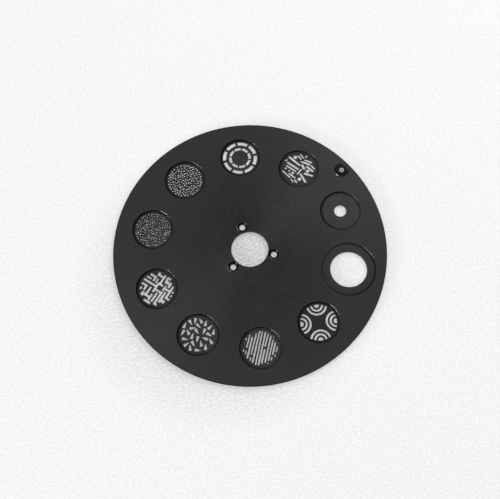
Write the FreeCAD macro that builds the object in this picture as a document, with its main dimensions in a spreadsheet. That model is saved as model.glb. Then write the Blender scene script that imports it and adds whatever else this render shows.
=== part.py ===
"""Static gobo wheel of a projector: a thin plate with ten positions, nine of which hold a gobo.

Millimetres and degrees. The origin is the centre of the hub bore on the underside. +Z points
through the plate towards the side that the gobos are loaded from. One position is left open.
The plate is drawn with that position on its own +X axis and then turned to its rest angle.
"""
import FreeCAD, Part
import math
import os
import random
import Sketcher

V = FreeCAD.Vector
UP = V(0, 0, 1)

SIZES = {
    # plate
    "wheel_diameter": 150.0,
    "plate_thickness": 2.0,
    "rim_break": 0.2,
    "open_turn": -14.3,
    # hub
    "hub_bore_diameter": 20.4,
    "screw_count": 3,
    "screw_circle_diameter": 27.0,
    "screw_hole_diameter": 3.3,
    "countersink_diameter": 6.0,
    # positions
    "position_count": 10,
    "position_inset": 20.0,
    "position_circle_diameter": "=wheel_diameter - 2 * position_inset",
    "aperture_diameter": 20.0,
    "open_recess_diameter": 30.0,
    "open_recess_depth": 0.8,
    "seat_diameter": 22.8,
    "ledge_thickness": 0.6,
    # gobos and the rings that hold them
    "gobo_thickness": 0.5,
    "gobo_clearance": 0.1,
    "gobo_sides": 40,
    "image_diameter": 19.6,
    "ring_wire": 0.55,
    "ring_clearance": 0.05,
    "ring_gap_angle": 58.0,
    "ring_sides": 20,
    # index magnet and its collar
    "magnet_inset": 5.5,
    "magnet_circle_diameter": "=wheel_diameter - 2 * magnet_inset",
    "magnet_steps": 1.5,
    "magnet_diameter": 3.0,
    "magnet_break": 0.15,
    "magnet_sink": 0.1,
    "magnet_clearance": 0.05,
    "collar_diameter": 8.2,
    "collar_height": 1.0,
    "collar_inner_height": 0.6,
    "collar_edge": 0.2,
    "collar_floor": 0.5,
    "shank_diameter": 5.0,
    "shank_clearance": 0.05,
    # cut-outs of the gobos
    "dash_count": 8,
    "outer_dash_width": 2.0,
    "outer_dash_gap": 1.2,
    "inner_dash_diameter": 12.6,
    "inner_dash_width": 1.4,
    "inner_dash_gap": 0.65,
    "corner_count": 4,
    "corner_inset": 0.4,
    "corner_disc_diameter": 3.0,
    "corner_band_width": 1.25,
    "corner_band_gap": 0.85,
    "pinhole_diameter": 6.7,
    "stick_width": 1.1,
    "stroke_width": 1.0,
    "shard_length": 3.2,
    "shard_wide_end": 1.8,
    "shard_narrow_end": 0.4,
    "corridor_width": 1.3,
    "dot_pitch": 2.75,
    "dot_width": 1.4,
    "fine_dot_pitch": 2.4,
    "fine_dot_width": 1.05,
}

# A bar is its two ends and its width as a share of the usual one.
STICKS = [
    ((-4.7, 7.6), (0.7, 2.6), 1.0),
    ((-5.8, 4.3), (-0.4, 0.2), 1.0),
    ((-6.5, 2.4), (-1.8, -1.2), 0.8),
    ((-8.9, -0.7), (-5.2, -4.7), 0.7),
    ((-5.5, -2.4), (-2.4, -5.0), 0.8),
    ((0.3, 8.2), (1.7, 6.3), 0.7),
    ((1.7, 8.9), (3.1, 6.9), 0.7),
    ((4.1, 5.4), (7.4, 3.9), 0.9),
    ((2.0, 4.6), (6.4, 2.6), 0.9),
    ((7.4, 1.8), (8.9, 0.0), 0.8),
    ((4.9, 1.3), (7.8, -1.4), 1.0),
    ((2.3, 2.3), (3.1, 0.3), 1.1),
    ((1.5, -0.2), (-0.8, -2.8), 0.7),
    ((1.0, -3.1), (3.4, -7.8), 1.0),
    ((3.3, -2.8), (7.4, -4.2), 1.0),
    ((-4.4, -5.9), (-3.6, -7.4), 0.7),
    ((-2.3, -6.6), (-1.7, -7.8), 0.9),
    ((-7.0, 5.6), (-6.3, 6.1), 0.7),
    ((4.5, 7.3), (5.2, 7.9), 0.7),
]

# A round dot is its centre and its width as a share of the usual bar.
STICK_DOTS = [
    ((-1.4, 7.5), 1.7),
    ((5.0, -1.3), 1.6),
    ((-3.4, -2.1), 1.3),
    ((0.1, -6.0), 1.7),
    ((-5.3, -0.7), 0.9),
    ((-7.2, 0.9), 1.0),
]

# Strokes run along Y, a few of them broken into dashes towards the edge.
STROKES = [
    ((-8.4, 3.6), (-8.4, 2.7), 0.8),
    ((-8.5, -2.6), (-8.5, -3.6), 0.8),
    ((-6.9, 5.8), (-7.2, -1.0), 0.9),
    ((-7.1, -3.0), (-7.1, -4.6), 0.8),
    ((-5.4, 4.8), (-5.7, -6.6), 1.1),
    ((-3.7, 7.2), (-4.1, -4.2), 0.9),
    ((-4.1, -5.8), (-4.0, -7.6), 0.8),
    ((-2.2, 8.8), (-2.5, -8.2), 1.0),
    ((-0.8, 9.0), (-0.7, -9.0), 0.9),
    ((0.9, 9.0), (0.8, -8.8), 1.1),
    ((2.6, 8.4), (2.1, 1.4), 0.9),
    ((2.3, -0.2), (2.3, -7.6), 1.1),
    ((4.1, 7.6), (3.9, -6.9), 1.0),
    ((5.7, 5.8), (5.4, -5.6), 0.9),
    ((5.4, -6.9), (5.4, -7.3), 0.7),
    ((5.6, 7.4), (5.6, 7.0), 0.7),
    ((7.1, 4.6), (7.0, -1.9), 1.1),
    ((6.9, -3.5), (6.8, -5.0), 0.9),
    ((8.6, 2.6), (8.5, -0.2), 0.8),
    ((8.4, -1.7), (8.3, -2.8), 0.8),
]

# A shard is its centre and the direction that its narrow end points in.
SHARDS = [
    ((-6.9, 5.5), 65),
    ((-3.8, 6.9), -60),
    ((-1.3, 7.7), -100),
    ((1.7, 7.6), 120),
    ((4.3, 6.2), 75),
    ((6.6, 4.0), 40),
    ((0.4, 4.9), -45),
    ((-2.8, 3.8), 5),
    ((8.4, 1.4), 80),
    ((-8.0, 1.6), -120),
    ((-5.2, 1.7), 115),
    ((-0.6, 2.0), -60),
    ((3.3, 1.8), -115),
    ((5.9, 0.0), -35),
    ((-3.0, -0.5), 70),
    ((-6.9, -2.0), -15),
    ((-0.3, -2.2), -105),
    ((3.7, -2.0), 155),
    ((-6.1, -4.8), 35),
    ((-2.6, -4.6), -65),
    ((1.6, -4.7), 100),
    ((6.8, -3.6), 120),
    ((-4.2, -6.7), 90),
    ((4.0, -6.6), 90),
    ((-0.2, -8.2), -10),
]

# Corridors of the maze: bars along X, then bars along Y that join them.
MAZE_ROWS = [
    ((-8.6, 1.0), (-1.0, 1.0), 1.0),
    ((-1.0, 3.1), (1.3, 3.1), 1.0),
    ((-1.0, -0.6), (3.3, -0.6), 1.0),
    ((-8.4, -1.4), (-5.8, -1.4), 1.0),
    ((-8.1, 3.1), (-6.2, 3.1), 0.8),
    ((-7.0, 5.2), (-4.2, 5.2), 1.0),
    ((-3.6, 7.2), (-0.2, 7.2), 1.0),
    ((1.8, 8.2), (3.1, 8.2), 1.0),
    ((2.4, 5.9), (4.6, 5.9), 1.5),
    ((3.2, 2.4), (6.9, 2.4), 1.0),
    ((6.9, -1.6), (8.5, -1.6), 1.0),
    ((-5.3, -5.9), (-0.7, -5.9), 1.0),
    ((-2.2, -8.6), (0.8, -8.6), 1.0),
    ((5.9, -4.1), (6.7, -4.1), 1.5),
    ((3.3, -7.5), (4.2, -7.5), 1.0),
]
MAZE_COLUMNS = [
    ((-1.0, -2.0), (-1.0, 2.5), 1.0),
    ((3.3, -7.5), (3.3, -0.6), 1.0),
    ((-5.8, -3.6), (-5.8, -1.4), 1.0),
    ((-7.8, -4.2), (-7.8, -3.8), 0.9),
    ((-4.2, 3.3), (-4.2, 5.2), 1.0),
    ((-2.5, 3.0), (-2.5, 4.6), 0.8),
    ((-3.6, 7.2), (-3.6, 8.0), 1.0),
    ((-0.2, 3.9), (-0.2, 8.3), 0.9),
    ((1.8, 6.0), (1.8, 8.2), 0.7),
    ((4.9, 4.3), (4.9, 5.9), 1.0),
    ((3.2, 1.2), (3.2, 3.4), 1.0),
    ((6.9, -1.6), (6.9, 5.2), 1.0),
    ((8.5, 2.5), (8.5, 2.9), 0.7),
    ((8.7, 0.5), (8.7, 0.8), 0.8),
    ((-3.4, -5.9), (-3.4, -1.3), 1.0),
    ((-5.3, -6.3), (-5.3, -5.8), 1.4),
    ((-0.7, -7.0), (-0.7, -4.2), 1.0),
    ((1.3, -6.8), (1.3, -2.4), 1.0),
    ((5.0, -5.0), (5.0, 0.5), 1.0),
]

doc = FreeCAD.newDocument("gobo_wheel")
sheet = doc.addObject("Spreadsheet::Sheet", "sizes")
for row, (alias, value) in enumerate(SIZES.items(), start=1):
    sheet.set(f"A{row}", alias)
    sheet.set(f"B{row}", str(value))
    sheet.setAlias(f"B{row}", alias)
doc.recompute()


def size(expression):
    """Value of an expression over the sheet's cells."""
    return float(sheet.evalExpression(expression))


def new_body(name):
    body = doc.addObject("PartDesign::Body", name)
    body.Label = name
    return body


def origin_part(body, role):
    return next(part for part in body.Origin.OriginFeatures if part.Role == role)


def new_sketch(body, name, plane="XY_Plane", height="0"):
    """Sketch on one of the body's own origin planes, raised by an expression."""
    sketch = body.newObject("Sketcher::SketchObject", name)
    sketch.AttachmentSupport = [(origin_part(body, plane), "")]
    sketch.MapMode = "FlatFace"
    sketch.setExpression("AttachmentOffset.Base.z", height)
    return sketch


def bind(sketch, kind, *where_and_expression):
    """Constraint whose value follows an expression."""
    *where, expression = where_and_expression
    index = sketch.addConstraint(Sketcher.Constraint(kind, *where, size(expression)))
    sketch.setExpression(f"Constraints[{index}]", expression)


def bind_point(sketch, edge, end, across, along):
    """Hold one point of a sketch at two expressions, on an axis where one of them is zero."""
    for kind, axis, expression in (("DistanceX", -2, across), ("DistanceY", -1, along)):
        if abs(size(expression)) < 1e-9:
            sketch.addConstraint(Sketcher.Constraint("PointOnObject", edge, end, axis))
        else:
            bind(sketch, kind, -1, 1, edge, end, expression)


def add_circle(sketch, diameter, across="0", along="0"):
    centre = V(size(across), size(along), 0)
    edge = sketch.addGeometry(Part.Circle(centre, UP, size(diameter) / 2))
    bind(sketch, "Diameter", edge, diameter)
    bind_point(sketch, edge, 3, across, along)


def finish(body, feature, name):
    feature.Label = name
    body.Tip = feature
    return feature


def pad(body, sketch, name, length):
    feature = body.newObject("PartDesign::Pad", name)
    feature.Profile = sketch
    feature.setExpression("Length", length)
    return finish(body, feature, name)


def pocket(body, sketch, name, depth=None):
    """Cut down from a raised sketch by a depth, or up through all from one on the underside."""
    feature = body.newObject("PartDesign::Pocket", name)
    feature.Profile = sketch
    if depth:
        feature.setExpression("Length", depth)
    else:
        feature.Type = "ThroughAll"
        feature.Reversed = True
    return finish(body, feature, name)


def around(body, features, name, count, angle="360"):
    """Repeat features about the body's own Z axis."""
    feature = body.newObject("PartDesign::PolarPattern", name)
    feature.Originals = features
    feature.Axis = (origin_part(body, "Z_Axis"), [""])
    feature.setExpression("Occurrences", count)
    feature.setExpression("Angle", angle)
    return finish(body, feature, name)


def break_edges(body, base, name, diameter, width, height=None):
    """Chamfer the circular edges of one diameter, or only those at one height."""
    edges = []
    for number, edge in enumerate(base.Shape.Edges, start=1):
        right_size = abs(edge.BoundBox.XLength - size(diameter)) < 1e-6
        right_place = height is None or abs(edge.BoundBox.ZMax - size(height)) < 1e-6
        if right_size and right_place and edge.BoundBox.ZLength < 1e-6:
            edges.append(f"Edge{number}")
    feature = body.newObject("PartDesign::Chamfer", name)
    feature.Base = (base, edges)
    feature.setExpression("Size", width)
    return finish(body, feature, name)


def place(body, circle, steps, height="0", turn=0.0):
    """Put a body on a circle, some steps round from the open position, turned with the wheel."""
    angle = f"(sizes.open_turn + {steps} * 360 / sizes.position_count) * 1 deg"
    body.Placement.Rotation = FreeCAD.Rotation(UP, 1)
    body.setExpression("Placement.Base.x", f"{circle} / 2 * cos({angle})")
    body.setExpression("Placement.Base.y", f"{circle} / 2 * sin({angle})")
    body.setExpression("Placement.Base.z", height)
    body.setExpression("Placement.Rotation.Angle", f"(sizes.open_turn + {turn}) * 1 deg")


def polygon(points):
    """Closed outline with straight sides."""
    corners = [V(x, y, 0) for x, y in points]
    return [Part.LineSegment(a, b) for a, b in zip(corners, corners[1:] + corners[:1])]


def arc_points(radius, first, last, sides, centre=(0, 0)):
    """Points along an arc from one angle to another, in degrees, a given number of sides apart."""
    angles = [math.radians(first + (last - first) * side / sides) for side in range(sides + 1)]
    return [(centre[0] + radius * math.cos(a), centre[1] + radius * math.sin(a)) for a in angles]


def bar(start, end, width, blunt=False):
    """Outline of a bar between two points. Its ends, square or blunt, reach past them."""
    x, y = end[0] - start[0], end[1] - start[1]
    direction = math.degrees(math.atan2(y, x))
    if blunt:
        return polygon(
            arc_points(width / 2, direction - 90, direction + 90, 3, end)
            + arc_points(width / 2, direction + 90, direction + 270, 3, start)
        )
    reach = width / math.sqrt(2)
    return polygon(
        arc_points(reach, direction - 45, direction + 45, 1, end)
        + arc_points(reach, direction + 135, direction + 225, 1, start)
    )


def bars(rows, usual_width, blunt=False):
    edges = []
    for start, end, share in rows:
        edges += bar(start, end, usual_width * share, blunt)
    return edges


def make_plate():
    """Plate with its bore, screw holes, apertures, stepped seats and the hole for the collar."""
    body = new_body("wheel_plate")
    top = "sizes.plate_thickness"
    radius = "sizes.position_circle_diameter / 2"
    step = "360 deg / sizes.position_count"

    outline = new_sketch(body, "plate_outline")
    add_circle(outline, "sizes.wheel_diameter")
    add_circle(outline, "sizes.hub_bore_diameter")
    disc = pad(body, outline, "plate_disc", top)
    doc.recompute()
    break_edges(body, disc, "rim_edges", "sizes.wheel_diameter", "sizes.rim_break")

    aperture_sketch = new_sketch(body, "aperture_sketch")
    add_circle(aperture_sketch, "sizes.aperture_diameter", radius)
    aperture = pocket(body, aperture_sketch, "aperture")
    around(body, [aperture], "apertures", "sizes.position_count")

    recess_sketch = new_sketch(body, "open_recess_sketch", height=top)
    add_circle(recess_sketch, "sizes.open_recess_diameter", radius)
    pocket(body, recess_sketch, "open_recess", "sizes.open_recess_depth")

    first_seat = (f"{radius} * cos({step})", f"{radius} * sin({step})")
    seat_sketch = new_sketch(body, "seat_sketch", height=top)
    add_circle(seat_sketch, "sizes.seat_diameter", *first_seat)
    seat = pocket(body, seat_sketch, "seat", "sizes.plate_thickness - sizes.ledge_thickness")
    turn_of_seats = "(sizes.position_count - 2) * 360 / sizes.position_count"
    around(body, [seat], "seats", "sizes.position_count - 1", turn_of_seats)

    screw_sketch = new_sketch(body, "screw_sketch", height=top)
    add_circle(screw_sketch, "sizes.screw_hole_diameter", "sizes.screw_circle_diameter / 2")
    doc.recompute()
    screw_hole = body.newObject("PartDesign::Hole", "screw_hole")
    screw_hole.Profile = screw_sketch
    doc.recompute()
    screw_hole.DepthType = "ThroughAll"
    screw_hole.setExpression("Diameter", "sizes.screw_hole_diameter")
    screw_hole.HoleCutType = "Countersink"
    screw_hole.HoleCutCustomValues = True
    screw_hole.setExpression("HoleCutDiameter", "sizes.countersink_diameter")
    screw_hole.HoleCutCountersinkAngle = 90
    finish(body, screw_hole, "screw_hole")
    around(body, [screw_hole], "screw_holes", "sizes.screw_count")

    shank_turn = "sizes.magnet_steps * 360 deg / sizes.position_count"
    shank_sketch = new_sketch(body, "shank_hole_sketch")
    add_circle(
        shank_sketch,
        "sizes.shank_diameter + 2 * sizes.shank_clearance",
        f"sizes.magnet_circle_diameter / 2 * cos({shank_turn})",
        f"sizes.magnet_circle_diameter / 2 * sin({shank_turn})",
    )
    pocket(body, shank_sketch, "shank_hole")
    place(body, "0", 0)
    return body


def make_blank(name):
    """Round gobo blank that fits a seat, with its rim in many short sides."""
    body = new_body(name)
    radius = size("sizes.seat_diameter / 2 - sizes.gobo_clearance")
    sides = int(size("sizes.gobo_sides"))
    outline = new_sketch(body, f"{name}_outline")
    outline.addGeometry(polygon(arc_points(radius, 0, 360, sides)[:-1]))
    pad(body, outline, f"{name}_blank", "sizes.gobo_thickness")
    return body


def cut_out(body, name, edges):
    """Cut closed outlines right through a gobo."""
    sketch = new_sketch(body, f"{name}_sketch")
    sketch.addGeometry(edges)
    return pocket(body, sketch, name)


def cut_pinhole(body):
    sketch = new_sketch(body, "pinhole_sketch")
    add_circle(sketch, "sizes.pinhole_diameter")
    pocket(body, sketch, "pinhole")


def cut_sticks(body):
    width = size("sizes.stick_width")
    edges = bars(STICKS, width, blunt=True)
    for centre, share in STICK_DOTS:
        edges += polygon(arc_points(width * share / 2, 0, 360, 8, centre)[:-1])
    cut_out(body, "sticks", edges)


def cut_dashed_rings(body):
    """Two rings of dashes. The inner ones sit half a step round from the outer ones."""
    step = 360 / size("sizes.dash_count")
    rings = [
        ("outer_dash", "image_diameter", 0),
        ("inner_dash", "inner_dash_diameter", step / 2),
    ]
    for name, diameter, middle in rings:
        outer = size(f"sizes.{diameter} / 2")
        inner = outer - size(f"sizes.{name}_width")
        gap = math.degrees(size(f"sizes.{name}_gap") * 2 / (inner + outer))
        first, last = middle - (step - gap) / 2, middle + (step - gap) / 2
        outline = arc_points(outer, first, last, 4) + arc_points(inner, last, first, 4)
        dash = cut_out(body, name, polygon(outline))
        around(body, [dash], f"{name}es", "sizes.dash_count")


def cut_corner_arcs(body):
    """A disc and two bands about each of the corner centres, cut off by the round image."""
    image = size("sizes.image_diameter / 2")
    centre = image - size("sizes.corner_inset")
    width = size("sizes.corner_band_width")
    gap = size("sizes.corner_band_gap")

    def edge_of(radius):
        """Points along an arc about the corner centre, from one side of the image to the other."""
        across = (image**2 - centre**2 - radius**2) / (2 * centre * radius)
        end = math.degrees(math.acos(across))
        return arc_points(radius, end, 360 - end, 8, (centre, 0))

    outer = size("sizes.corner_disc_diameter / 2")
    edges = polygon([(centre, 0), *edge_of(outer)])
    for _ in range(2):
        inner = outer + gap
        outer = inner + width
        edges += polygon(edge_of(inner) + edge_of(outer)[::-1])
    corner = cut_out(body, "corner", edges)
    around(body, [corner], "corners", "sizes.corner_count")


def cut_strokes(body):
    cut_out(body, "strokes", bars(STROKES, size("sizes.stroke_width")))


def cut_shards(body):
    """Blunt wedges that point every way."""
    half_length = size("sizes.shard_length / 2")
    wide, narrow = size("sizes.shard_wide_end / 2"), size("sizes.shard_narrow_end / 2")
    edges = []
    for (x, y), direction in SHARDS:
        along = V(math.cos(math.radians(direction)), math.sin(math.radians(direction)), 0)
        aside = V(-along.y, along.x, 0)
        centre = V(x, y, 0)
        tip, base = centre + along * half_length, centre - along * half_length
        corners = [tip + aside * narrow, base + aside * wide, base - aside * wide, tip - aside * narrow]
        edges += polygon([(corner.x, corner.y) for corner in corners])
    cut_out(body, "shards", edges)


def cut_maze(body):
    width = size("sizes.corridor_width")
    cut_out(body, "maze_rows", bars(MAZE_ROWS, width))
    cut_out(body, "maze_columns", bars(MAZE_COLUMNS, width))


def cut_dots(body, pitch, width, sides, seed):
    """Small polygons on a loose triangular grid that fills the image."""
    chance = random.Random(seed)
    reach = size("sizes.image_diameter / 2") - width / 2
    drift = (pitch - width) * 0.2
    rows = int(reach / pitch) + 2
    edges = []
    for row in range(-rows, rows + 1):
        for column in range(-rows, rows + 1):
            x = (column + 0.5 * (row % 2)) * pitch + chance.uniform(-drift, drift)
            y = row * pitch * math.sqrt(3) / 2 + chance.uniform(-drift, drift)
            turn = chance.uniform(0, 360)
            radius = width / 2 * chance.uniform(0.8, 1.1)
            if math.hypot(x, y) > reach:
                continue
            angles = [math.radians(turn + 360 * side / sides) for side in range(sides)]
            edges += polygon([(x + radius * math.cos(a), y + radius * math.sin(a)) for a in angles])
    cut_out(body, "dots", edges)


def cut_coarse_dots(body):
    cut_dots(body, size("sizes.dot_pitch"), size("sizes.dot_width"), sides=5, seed=3)


def cut_fine_dots(body):
    cut_dots(body, size("sizes.fine_dot_pitch"), size("sizes.fine_dot_width"), sides=4, seed=8)


def make_ring(name):
    """Split spring ring bent from thin wire, with its gap on its own +X axis."""
    body = new_body(name)
    outer = size("sizes.seat_diameter / 2 - sizes.ring_clearance")
    inner = outer - size("sizes.ring_wire")
    gap = size("sizes.ring_gap_angle")
    bends = round((360 - gap) / 360 * size("sizes.ring_sides"))
    outside = arc_points(outer, gap / 2, 360 - gap / 2, bends)
    inside = arc_points(inner, 360 - gap / 2, gap / 2, bends)
    outline = new_sketch(body, f"{name}_outline")
    outline.addGeometry(polygon(outside + inside))
    pad(body, outline, f"{name}_wire", "sizes.ring_wire")
    return body


def make_collar():
    """Domed collar with a shank through the plate and a blind bore for the magnet."""
    body = new_body("magnet_collar")
    top = "sizes.plate_thickness"
    bore = "sizes.magnet_diameter / 2 + sizes.magnet_clearance"
    corners = [
        ("0", "0"),
        ("sizes.shank_diameter / 2", "0"),
        ("sizes.shank_diameter / 2", top),
        ("sizes.collar_diameter / 2", top),
        ("sizes.collar_diameter / 2", f"{top} + sizes.collar_edge"),
        (f"(sizes.collar_diameter / 2 + {bore}) / 2", f"{top} + sizes.collar_height"),
        (bore, f"{top} + sizes.collar_inner_height"),
        (bore, "sizes.collar_floor"),
        ("0", "sizes.collar_floor"),
    ]
    sketch = new_sketch(body, "collar_profile", plane="XZ_Plane")
    sketch.addGeometry(polygon([(size(across), size(along)) for across, along in corners]))
    for number, (across, along) in enumerate(corners):
        previous = (number - 1) % len(corners)
        sketch.addConstraint(Sketcher.Constraint("Coincident", previous, 2, number, 1))
        bind_point(sketch, number, 1, across, along)
    feature = body.newObject("PartDesign::Revolution", "collar_turned")
    feature.Profile = sketch
    feature.ReferenceAxis = (sketch, ["V_Axis"])
    feature.Angle = 360
    finish(body, feature, "collar_turned")
    place(body, "sizes.magnet_circle_diameter", "sizes.magnet_steps")
    return body


def make_magnet():
    body = new_body("index_magnet")
    outline = new_sketch(body, "magnet_outline")
    add_circle(outline, "sizes.magnet_diameter")
    mouth = "sizes.plate_thickness + sizes.collar_inner_height"
    length = f"{mouth} - sizes.magnet_sink - sizes.collar_floor"
    slug = pad(body, outline, "magnet_slug", length)
    doc.recompute()
    break_edges(body, slug, "magnet_edge", "sizes.magnet_diameter", "sizes.magnet_break", length)
    place(body, "sizes.magnet_circle_diameter", "sizes.magnet_steps", "sizes.collar_floor")
    return body


# The positions after the open one, counter-clockwise: name, cut-outs, the turn of the image
# and the turn of the ring's gap, both from the direction of the open position.
DESIGNS = [
    ("pinhole", cut_pinhole, 0, 128),
    ("sticks", cut_sticks, 14, 130),
    ("dashed_rings", cut_dashed_rings, 48.5, 214),
    ("dots", cut_coarse_dots, 14, 111),
    ("fine_dots", cut_fine_dots, 14, 73),
    ("maze", cut_maze, -20, 54),
    ("shards", cut_shards, 14, 118),
    ("stripes", cut_strokes, 0, 109),
    ("corner_arcs", cut_corner_arcs, 18, 24),
]

bodies = [make_plate()]
seats_in_use = int(size("sizes.position_count")) - 1
for steps, (design, cut_image, image_turn, ring_turn) in enumerate(DESIGNS[:seats_in_use], start=1):
    gobo = make_blank(f"gobo_{design}")
    cut_image(gobo)
    place(gobo, "sizes.position_circle_diameter", steps, "sizes.ledge_thickness", image_turn)
    ring = make_ring(f"ring_{design}")
    seat_height = "sizes.ledge_thickness + sizes.gobo_thickness"
    place(ring, "sizes.position_circle_diameter", steps, seat_height, ring_turn)
    bodies += [gobo, ring]
bodies += [make_collar(), make_magnet()]
doc.recompute()

for item in doc.Objects:
    if {"Invalid", "Error"} & set(item.State):
        raise RuntimeError(f"{item.Label} failed: {item.State}")
for body in bodies:
    if body.Shape.isNull() or not body.Shape.isValid() or len(body.Shape.Solids) != 1:
        raise RuntimeError(f"{body.Label} is not one valid solid")

os.makedirs("parts", exist_ok=True)
for body in bodies:
    body.Shape.exportStep(f"parts/{body.Label}.step")
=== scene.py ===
"""Gobo wheel of a projector, dressed for a picture.

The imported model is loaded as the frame. Each operator below makes one piece or one group of like
pieces over it, in metres and in the frame's own coordinates: the origin is the centre of the hub
bore on the underside, and +Z points out of the face that the gobos are loaded from.
"""

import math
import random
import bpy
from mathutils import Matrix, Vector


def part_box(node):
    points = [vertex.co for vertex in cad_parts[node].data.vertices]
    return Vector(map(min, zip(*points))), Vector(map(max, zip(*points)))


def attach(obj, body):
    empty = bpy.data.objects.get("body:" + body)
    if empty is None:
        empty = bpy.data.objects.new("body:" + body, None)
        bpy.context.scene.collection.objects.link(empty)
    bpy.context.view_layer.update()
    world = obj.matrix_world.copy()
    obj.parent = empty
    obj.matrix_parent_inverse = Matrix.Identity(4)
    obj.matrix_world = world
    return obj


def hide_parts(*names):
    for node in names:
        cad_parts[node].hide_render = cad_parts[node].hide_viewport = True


bl_info = {
    "name": "Gobo Wheel",
    "version": (1, 0, 0),
    "blender": (4, 5, 0),
    "location": "View3D > Sidebar > Gobo Wheel",
    "description": "Builds a static gobo wheel with its gobos, spring rings and index magnet",
    "category": "Add Mesh",
}

from collections import namedtuple

import bmesh
import bpy
from bpy.props import FloatProperty, FloatVectorProperty, IntProperty, PointerProperty
from mathutils import Matrix, Vector

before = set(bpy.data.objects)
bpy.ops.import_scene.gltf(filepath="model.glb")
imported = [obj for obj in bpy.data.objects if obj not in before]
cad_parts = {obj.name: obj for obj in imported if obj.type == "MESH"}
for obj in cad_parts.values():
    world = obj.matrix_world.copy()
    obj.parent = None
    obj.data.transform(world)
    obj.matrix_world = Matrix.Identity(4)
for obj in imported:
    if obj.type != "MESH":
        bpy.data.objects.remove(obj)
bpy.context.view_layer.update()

MM = 0.001
# Range of a mask, from none to all.
UNIT = (0.0, 1.0)
# Points closer than this are made one.
WELD = 0.001 * MM
# A face counts as level when the upward share of its normal is at least this.
LEVEL = 0.9

# Direction of the open position, in degrees from +X.
OPEN_TURN = -14.3
BLANK_RADIUS = 11.3 * MM
RING_RADIUS = 11.35 * MM
RECESS_FLOOR = 1.2 * MM
RECESS_SLACK = 0.03 * MM

# Where finishes change, as distances from a point. A painted sheen makes the plate greyer towards
# its rim. The floor of the recess is wiped grey, with painted shade at its edge about a centre of
# its own, and painted shade greys the room's floor about another. The edges of the plate are
# glossy between the bore and the rim.
AXIS_FOOT = (0.0, 0.0, 0.0)
RIM_SHEEN_REACH = (22 * MM, 74 * MM)
RECESS_SHADE_CENTRE = (53.0 * MM, -13.45 * MM, RECESS_FLOOR)
RECESS_SHADE_REACH = (13.8 * MM, 14.4 * MM)
SHADE_CENTRE = (-14.0 * MM, -16.0 * MM, 0.0)
SHADE_REACH = (20 * MM, 84 * MM)
GLOSSY_EDGES = (12 * MM, 74 * MM)

# Painted shade darkens each gobo's rim, where its seat's wall shades it, between these distances
# from a point a little to the right of the gobo's centre, so that it reaches further in on the
# left.
# Each ring's wear and painted light grow from left to right of the centre.
SEAT_SHADE_SHIFT = 0.6 * MM
SEAT_SHADE_REACH = (10.1 * MM, 10.9 * MM)
SIDE_LIGHT_LEFT, SIDE_LIGHT_RIGHT = -8 * MM, 6 * MM

# Each gobo: turn of its image, tone of its steel and share of painted shade at its rim, then the
# turn of its ring's gap and the share of wear and painted light towards the ring's right side.
# Turns are in degrees from the open position, and both shares run from none, 0, to all, 1.
Design = namedtuple("Design", "image_turn tone soot ring_turn wear")
DESIGNS = {
    "pinhole": Design(0, 1.95, 0.95, 128, 0.9),
    "sticks": Design(14, 1.5, 0.8, 130, 0.9),
    "dashed_rings": Design(48.5, 1.4, 1.0, 214, 0.3),
    "dots": Design(14, 1.3, 0.85, 111, 0.3),
    "fine_dots": Design(14, 1.3, 0.85, 73, 0.8),
    "maze": Design(-20, 1.3, 0.85, 54, 0.5),
    "shards": Design(14, 1.6, 0.8, 118, 0.3),
    "stripes": Design(0, 1.8, 0.7, 109, 0.8),
    "corner_arcs": Design(18, 0.9, 0.9, 24, 0.3),
}

# Sticks: two ends in millimetres, and the width as a share of the usual one.
STICKS = [
    ((-4.7, 7.6), (0.7, 2.6), 1.0),
    ((-5.8, 4.3), (-0.4, 0.2), 1.0),
    ((-6.5, 2.4), (-1.8, -1.2), 0.8),
    ((-8.9, -0.7), (-5.2, -4.7), 0.7),
    ((-5.5, -2.4), (-2.4, -5.0), 0.8),
    ((0.3, 8.2), (1.7, 6.3), 0.7),
    ((1.7, 8.9), (3.1, 6.9), 0.7),
    ((4.1, 5.4), (7.4, 3.9), 0.9),
    ((2.0, 4.6), (6.4, 2.6), 0.9),
    ((7.4, 1.8), (8.9, 0.0), 0.8),
    ((4.9, 1.3), (7.8, -1.4), 1.0),
    ((2.3, 2.3), (3.1, 0.3), 1.1),
    ((1.5, -0.2), (-0.8, -2.8), 0.7),
    ((1.0, -3.1), (3.4, -7.8), 1.0),
    ((3.3, -2.8), (7.4, -4.2), 1.0),
    ((-4.4, -5.9), (-3.6, -7.4), 0.7),
    ((-2.3, -6.6), (-1.7, -7.8), 0.9),
    ((-7.0, 5.6), (-6.3, 6.1), 0.7),
    ((4.5, 7.3), (5.2, 7.9), 0.7),
]
# Discs between the sticks: centre in millimetres, and the width as a share of a stick's.
STICK_DOTS = [
    ((-1.4, 7.5), 1.7),
    ((5.0, -1.3), 1.6),
    ((-3.4, -2.1), 1.3),
    ((0.1, -6.0), 1.7),
    ((-5.3, -0.7), 0.9),
    ((-7.2, 0.9), 1.0),
]
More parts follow.
